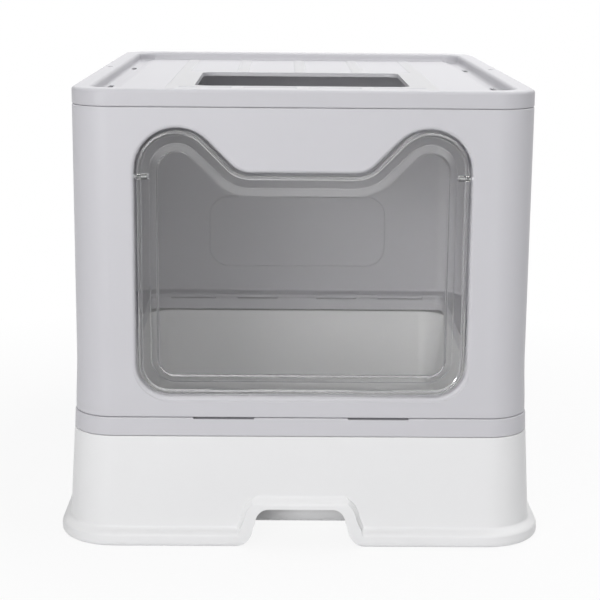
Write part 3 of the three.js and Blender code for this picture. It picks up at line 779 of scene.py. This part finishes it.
# %% Doorway
FLAP_GAP, FLAP_LIFT, TAB_HEIGHT = 2.15, 0.2, 1.6
EAR_HEIGHT, EAR_ROUND, BAR_ROUND, SILL_ROUND = 36.4, 35, 22.7, 27.8
DOOR_ROUND, JAMB = 3, 10
pivot = [1000 * value for value in next(j for j in frame["joints"] if j["name"] == "flap_swing")["pos_m"]]
door_half = flap_high.x + FLAP_GAP
ear_top = flap_high.z + FLAP_GAP
sill = flap_low.z + TAB_HEIGHT - FLAP_LIFT - FLAP_GAP
bar = ear_top - EAR_HEIGHT


def door_arcs(inset, sill_lift=0, sill_round=SILL_ROUND):
    """The doorway moved in by an inset. A lift raises the sill alone."""
    side, sill_z = door_half - sill_round, sill + sill_lift + sill_round
    ear_x, ear_z = door_half - EAR_ROUND, ear_top - EAR_ROUND
    bar_z = bar + BAR_ROUND
    bar_x = ear_x - ear_z + bar_z - math.sqrt(2) * (EAR_ROUND + BAR_ROUND)
    right = [
        (side, sill_z, sill_round - inset, -90, 0),
        (ear_x, ear_z, EAR_ROUND - inset, 0, 135),
        (bar_x, bar_z, BAR_ROUND + inset, 315, 270),
    ]
    left = [(-x, z, radius, 180 - end, 180 - start) for x, z, radius, start, end in reversed(right)]
    return right + left


def door_body(levels, sill_lift=0, sill_round=SILL_ROUND):
    """A body on the doorway's outline, through (how far in front of the panel's face, inset) levels."""
    steps = [(out - front, -inset) for out, inset in levels]
    return raised(door_arcs(levels[0][1], sill_lift, sill_round), steps, upright=True)


print("doorway", round(2 * door_half), "mm wide, bar at", round(bar), "mm")

# %% [markdown]
# The front panel turns in at the doorway as a short jamb, with a generous round where the face
# rolls over. A block inside each jamb, beside the ears, holds the end of a pivot pin.

# %% Front panel
PIN_RADIUS, PIN_PLAY, PIN_GRIP = 1.5, 0.06, 8.5
SOCKET_WIDTH, SOCKET_DEPTH = 9, 7.5
front_panel = join(end_panel(), door_body([(-JAMB, -WALL), (-WALL / 2, -WALL)]))
for side in (-1, 1):
    x0, x1 = side * (door_half + WALL / 2), side * (door_half + SOCKET_WIDTH)
    z0, z1 = pivot[2] - 2 * PIN_RADIUS, pivot[2] + 2 * PIN_RADIUS
    front_panel = join(front_panel, block(x0, x1, front + WALL / 2, front + JAMB, z0, z1))
opening = [(-JAMB - BEYOND, 0)]
opening += [(rise - DOOR_ROUND, -lean) for rise, lean in quarter(DOOR_ROUND, 7)]
opening.append((BEYOND, -DOOR_ROUND - BEYOND))
bore = rod(PIN_RADIUS + 2 * PIN_PLAY, 2 * (door_half + SOCKET_DEPTH), pivot, "X")
front_panel = cut(front_panel, door_body(opening), bore)
finished(front_panel, "front_wall", "hood", "shell_grey", hood_plastic, "front_panel")

# %% [markdown]
# The back panel is the same moulding without a doorway. A rounded pad is pressed into it: it sinks
# in from outside and stands out as much on the inside, where it shows through the flap.

# %% Back panel
PAD_WIDTH, PAD_HEIGHT, PAD_ROUND, PAD_RISE, PAD_DEPTH = 200, 81, 22, 31, 1.2
pad_z = panel_bottom + PAD_RISE + PAD_HEIGHT / 2


def pad_body(levels):
    """A body on the pad's outline, through (how far outside the panel's face, grow) levels."""
    grow = levels[0][1]
    arcs = rounded_rectangle(PAD_WIDTH + 2 * grow, PAD_HEIGHT + 2 * grow, PAD_ROUND + grow, 0, pad_z)
    steps = [(out - front, grow) for out, grow in levels]
    return mirrored_away(raised(arcs, steps, upright=True), "Y")


raised_levels = [(-WALL - PAD_DEPTH, -PAD_DEPTH), (-WALL, 0), (-WALL / 2, 0)]
sunk_levels = [(-PAD_DEPTH, 0), (BEYOND, BEYOND + PAD_DEPTH)]
back_panel = mirrored_away(end_panel(), "Y")
back_panel = cut(join(back_panel, pad_body(raised_levels)), pad_body(sunk_levels))
finished(back_panel, "back_wall", "hood", "shell_grey", hood_plastic, "back_panel")

# %% [markdown]
# A side panel is the flat stretch between the seams. Its laps step inwards by a wall and a gap and
# reach behind the neighbours. The left panel is the right one mirrored.

# %% Side panels
LAP, LAP_TOP_GAP = 9, 8.5
reach = corner_seam - SEAM
lap_bottom, lap_top = panel_bottom + 3 * WALL, panel_top - LAP_TOP_GAP


def strips(y0, y1):
    """Two blocks over the ends of the right-hand side."""
    ahead = block(hood_width / 4, hood_width, y0, y1, low, high)
    return join(ahead, block(hood_width / 4, hood_width, -y1, -y0, low, high))


def lap_ring(outer, inner):
    """A ring of wall between two offsets, as tall as the laps."""
    ring = hood_body([(lap_bottom, outer), (lap_top, outer)])
    return cut(ring, hood_body([(lap_bottom - BEYOND, inner), (lap_top + BEYOND, inner)]))


lap_face = -WALL - SEAM
right_panel = common(panel_ring(), block(0, hood_width, -reach, reach, low, high))
right_panel = join(right_panel, common(lap_ring(lap_face, lap_face - WALL), strips(reach - LAP, reach + LAP)))
right_panel = join(right_panel, common(lap_ring(-WALL / 2, lap_face - WALL), strips(reach - LAP, reach)))
left_panel = mirrored(right_panel, "X")
finished(right_panel, "side_wall_right", "hood", "shell_grey", hood_plastic, "side_panel_right")
finished(left_panel, "side_wall_left", "hood", "shell_grey", hood_plastic, "side_panel_left")

# %% [markdown]
# The flap is one thin smoked shell. A bead runs round its edge, then a flat flange, and then a
# slope with a crisp foot and a round shoulder rises to the pane, which stands a little proud and has
# wider lower corners than the edge. The back follows the front, so the wall is as thick everywhere.
# Two bosses hold the pins, and two tabs at the foot close the gap to the sill.

# %% Flap
FLAP_WALL, FLAP_RECESS, FLAP_EDGE = 2.4, 1.2, 0.3
BEAD_WIDTH, BEAD_HEIGHT, BEAD_STEPS, FLANGE = 3.7, 2.5, 16, 10.2
PANE_RISE, PANE_SLOPE, PANE_FOOT, PANE_ROUND, PANE_CORNER = 4.5, 5.9, 0.5, 1.8, 33
PANE_STEPS, SUNK = 5, 0.01
BOSS_RADIUS, BOSS_LENGTH, BOSS_INSET = 2.6, 10, 0.05
TAB_LENGTH, TAB_CENTRE = 32, 60
foot = FLAP_GAP + FLANGE
flap_back = -FLAP_RECESS - FLAP_WALL


def pane_body(bottom, base, first):
    """The raised pane: a crisp foot, a straight slope and a round shoulder, from below its flange."""
    lean = math.atan(PANE_RISE / PANE_SLOPE)
    angles = [lean * step / PANE_STEPS for step in range(PANE_STEPS + 1)]
    turns = [(math.sin(angle), 1 - math.cos(angle)) for angle in angles]
    top, shoulder = base + PANE_RISE, first + PANE_SLOPE + PANE_ROUND * math.tan(lean / 2)
    start = first - PANE_FOOT * math.tan(lean / 2)
    levels = [(bottom, start), (base - SUNK, start)]
    levels += [(base + PANE_FOOT * rise, start + PANE_FOOT * run) for run, rise in turns[1:]]
    levels += [(top - PANE_ROUND * fall, shoulder - PANE_ROUND * run) for run, fall in reversed(turns)]
    return door_body(levels, FLAP_LIFT, PANE_CORNER)


plate_levels = [(flap_back, FLAP_GAP + FLAP_EDGE), (flap_back + FLAP_EDGE, FLAP_GAP)]
for step in range(BEAD_STEPS + 1):
    turn = math.pi * step / BEAD_STEPS
    bead = FLAP_GAP + BEAD_WIDTH / 2 * (1 - math.cos(turn))
    plate_levels.append((BEAD_HEIGHT * math.sin(turn) - FLAP_RECESS, bead))
flap = join(door_body(plate_levels, FLAP_LIFT), pane_body(flap_back + FLAP_WALL / 2, -FLAP_RECESS, foot))
flap = cut(flap, pane_body(flap_back - BEYOND, flap_back, foot + 0.5 * FLAP_WALL))
edge_x, low_edge = door_half - FLAP_GAP, sill + FLAP_GAP + FLAP_LIFT
for side in (-1, 1):
    middle = (side * (edge_x - BOSS_LENGTH / 2 - BOSS_INSET), pivot[1], pivot[2])
    flap = join(flap, rod(BOSS_RADIUS, BOSS_LENGTH - 2 * BOSS_INSET, middle, "X"))
    x0, x1 = side * (TAB_CENTRE - TAB_LENGTH / 2), side * (TAB_CENTRE + TAB_LENGTH / 2)
    y0 = front - flap_back - FLAP_WALL
    flap = join(flap, block(x0, x1, y0 + FLAP_WALL / 2, y0 + FLAP_WALL, low_edge - TAB_HEIGHT, low_edge + 1))
for side in (-1, 1):
    middle = (side * (edge_x - PIN_GRIP / 2 + BEYOND / 2), pivot[1], pivot[2])
    flap = cut(flap, rod(PIN_RADIUS + PIN_PLAY, PIN_GRIP + BEYOND, middle, "X"))
finished(flap, "smoked_flap", "flap", "smoked_clear", smoked_plastic, "door_flap")

# %% [markdown]
# The pins are short clear rods, half in the flap's boss and half in the jamb. A real pin has a
# chamfer at each end so that it starts into its hole, which Bevel cuts on the two end rims.

# %% Pins
PIN_SHORT, PIN_CHAMFER = 0.5, 0.3
inner, outer = edge_x - PIN_GRIP + SEAM, door_half + SOCKET_DEPTH - PIN_SHORT
for side, name in ((-1, "left"), (1, "right")):
    pin = rod(PIN_RADIUS, outer - inner, (side * (inner + outer) / 2, pivot[1], pivot[2]), "X")
    bm = bmesh.new()
    bm.from_mesh(pin.data)
    rims = [edge for edge in bm.edges if any(len(face.verts) > 4 for face in edge.link_faces)]
    bmesh.ops.bevel(
        bm, geom=rims, offset=PIN_CHAMFER, offset_type="OFFSET", segments=2, profile=0.5,
        affect="EDGES", material=-1,
    )
    bm.to_mesh(pin.data)
    bm.free()
    finished(pin, "pivot_pin_" + name, "flap", "pin_clear", pin_plastic, "flap_pin_" + name)

# %% [markdown]
# The lid is a shallow tray. Its outer edge rolls over into a rim, which rolls softly down again to
# the lower floor inside. A gutter along each side leads water to two drains. Below the edge a lip
# reaches into the hood and keeps the lid in place. The tray's inside is one body, used twice: as it
# is, to sink the tray, and grown by a wall, to keep the plastic round it when the lid is hollowed.

# %% Lid: tray and gutters
LID_ROUND, LID_RIM, LID_RECESS, LID_PLATE = 3, 16.5, 8, 3
RECESS_ROUND, RECESS_FOOT, RIM_EASE = 18, 3, 3.5
GUTTER_WIDTH, GUTTER_FLAT, GUTTER_DEPTH = 15.5, 8.5, 1.8
LIP_DEPTH, LIP_PLAY, LIP_WALL, LIP_TAPER, LIP_SINK, LIP_ROOT = 6, 0.4, 2, 0.5, 0.2, 3
lid_floor = lid_top - LID_RECESS
recess_x, recess_y = hood_width / 2 - LID_RIM, hood_depth / 2 - LID_RIM


def recess(grow, drop, top):
    """The tray's inside: a rounded foot, short upright walls and a soft round up to the rim."""
    floor = lid_floor - drop
    levels = [(floor + RECESS_FOOT - rise, grow - lean) for rise, lean in reversed(quarter(RECESS_FOOT, 6))]
    levels += [(lid_top - RIM_EASE + rise, grow + lean) for rise, lean in quarter(RIM_EASE, 6)]
    levels.append((top, grow + RIM_EASE))
    start = levels[0][1]
    arcs = rounded_rectangle(2 * (recess_x + start), 2 * (recess_y + start), RECESS_ROUND + start)
    return raised(arcs, levels)


def gutter_wedge(grow, drop, top):
    """The room of both gutters: everything outside a slope along each side of the floor."""
    edge = lid_floor - drop
    x0, x1 = recess_x - GUTTER_WIDTH - grow, recess_x - GUTTER_FLAT - grow
    wedges = []
    for side in (-1, 1):
        wedge = block(side * x1, side * hood_width / 2, -recess_y, recess_y, edge - GUTTER_DEPTH, top)
        slope = block(side * x0, side * (x1 + 1), -recess_y, recess_y, edge - GUTTER_DEPTH, top)
        bm = bmesh.new()
        bm.from_mesh(slope.data)
        inner_foot = [v for v in bm.verts if abs(v.co.x) < x0 + 0.01 and v.co.z < edge]
        bmesh.ops.translate(bm, vec=(0, 0, GUTTER_DEPTH), verts=inner_foot)
        bm.to_mesh(slope.data)
        bm.free()
        wedges.append(join(wedge, slope))
    return wedges


def tray_hollow(grow, drop, top):
    """The tray's inside with its gutters, grown and dropped to give the body that carries it."""
    body = recess(grow, drop, top)
    for wedge in gutter_wedge(grow, drop, top):
        body = join(body, common(recess(grow, drop + GUTTER_DEPTH, top), wedge))
    return body


rim_levels = [(lid_bottom + EDGE - rise, -lean) for rise, lean in reversed(quarter(EDGE, 4))]
rim_levels += [(lid_top - LID_ROUND + rise, -lean) for rise, lean in quarter(LID_ROUND, 7)]
lid = hood_body(rim_levels)
under = cut(
    hood_body([(lid_bottom - BEYOND, -WALL), (lid_top - LID_ROUND, -WALL)]),
    tray_hollow(WALL, LID_PLATE, lid_top + BEYOND),
)
lid = cut(lid, under, tray_hollow(0, 0, lid_top + SUNK))
lip_out = -WALL - LIP_PLAY
lip_levels = [(lid_bottom - LIP_DEPTH, lip_out - LIP_TAPER), (lid_bottom - SEAM / 2, lip_out)]
lip_levels += [(lid_bottom + LIP_SINK, lip_out), (lid_bottom + LIP_SINK, -WALL / 2)]
lip_levels.append((lid_bottom + LIP_ROOT, -WALL / 2))
lip_hole = [(lid_bottom - LIP_DEPTH - BEYOND, lip_out - LIP_WALL), (lid_top, lip_out - LIP_WALL)]
lip = cut(hood_body(lip_levels), hood_body(lip_hole), tray_hollow(WALL, LID_PLATE, lid_top + BEYOND))
lid = join(lid, lip)
print("lid floor", round(lid_floor), "mm high")

# %% [markdown]
# Five low ribs stiffen the floor, and a raised border round the exit joins the outer two, so that
# water runs round the hole. A rib is a round-ended strip whose sides rise along a wave to a flat
# crest, and the border has the same sides. The exit is cut through them all with a broken edge, and
# then the four slot-shaped drains and the two small dimples in the rim.

# %% Lid: ribs, exit and drains
RIB_PITCH, RIB_WIDTH, RIB_HEIGHT, RIB_EASE, RIB_END, OUTER = 57, 14, 0.9, 3, 10, 2
EXIT_WIDTH, EXIT_DEPTH, EXIT_ROUND, EXIT_FORWARD, EXIT_BORDER = 191, 169, 12, 43.5, 9
DRAIN_WIDTH, DRAIN_LENGTH, DRAIN_INSET, DRAIN_PITCH = 4.2, 24, 4, 228
DIMPLE_RADIUS, DIMPLE_DEPTH = 2.8, 2.5
NEARLY_TWO_ENDS, END_STEPS = 2.1, 6
shares = [step / WAVE_STEPS for step in range(WAVE_STEPS + 1)]
crest = [(lid_floor - 1, 0)]
crest += [(lid_floor + RIB_HEIGHT * (0.5 - 0.5 * math.cos(math.pi * s)), -RIB_EASE * s) for s in shares]
for step in range(-OUTER, OUTER + 1):
    length = 2 * (recess_y - RIB_END)
    rib = rounded_rectangle(RIB_WIDTH, length, RIB_WIDTH / NEARLY_TWO_ENDS, step * RIB_PITCH)
    lid = join(lid, raised(rib, crest, steps=END_STEPS))
border_x = OUTER * RIB_PITCH + RIB_WIDTH / 2
border_y = EXIT_DEPTH / 2 + EXIT_BORDER
border = rounded_rectangle(2 * border_x, 2 * border_y, EXIT_BORDER / 3, 0, -EXIT_FORWARD)
exit_hole = rounded_rectangle(EXIT_WIDTH, EXIT_DEPTH, EXIT_ROUND, 0, -EXIT_FORWARD)
exit_levels = [(lid_bottom - BEYOND, 0), (lid_floor + RIB_HEIGHT - 0.6, 0)]
exit_levels += [(lid_floor + RIB_HEIGHT - 0.2, 0.15), (lid_floor + RIB_HEIGHT, 0.6), (lid_top, LID_RECESS)]
lid = cut(join(lid, raised(border, crest)), raised(exit_hole, exit_levels))
for side in (-1, 1):
    for end in (-1, 1):
        x, y = side * (recess_x - DRAIN_INSET), end * DRAIN_PITCH / 2
        drain = rounded_rectangle(DRAIN_WIDTH, DRAIN_LENGTH, DRAIN_WIDTH / NEARLY_TWO_ENDS, x, y)
        drain_levels = [(lid_floor - 4 * LID_PLATE, 0), (lid_floor + LID_PLATE, 0)]
        lid = cut(lid, raised(drain, drain_levels, steps=END_STEPS))
    middle = (side * (recess_x + LID_RIM / 2), 0, lid_top - DIMPLE_DEPTH + BEYOND / 2)
    lid = cut(lid, rod(DIMPLE_RADIUS, BEYOND, middle))
rib_top = (lid_floor + RIB_HEIGHT) / 1000
# The rib tops get a smoother gloss and a lighter colour, and the lighter colour is a painted highlight.
polished_with_painted_highlight(lid_grey_with_painted_shade, rib_top - 0.0003, rib_top + 0.0005, 0.3, (0.566, 0.564, 0.583))
finished(lid, "tray_lid", "lid", "shell_grey", lid_grey_with_painted_shade, "top_lid")
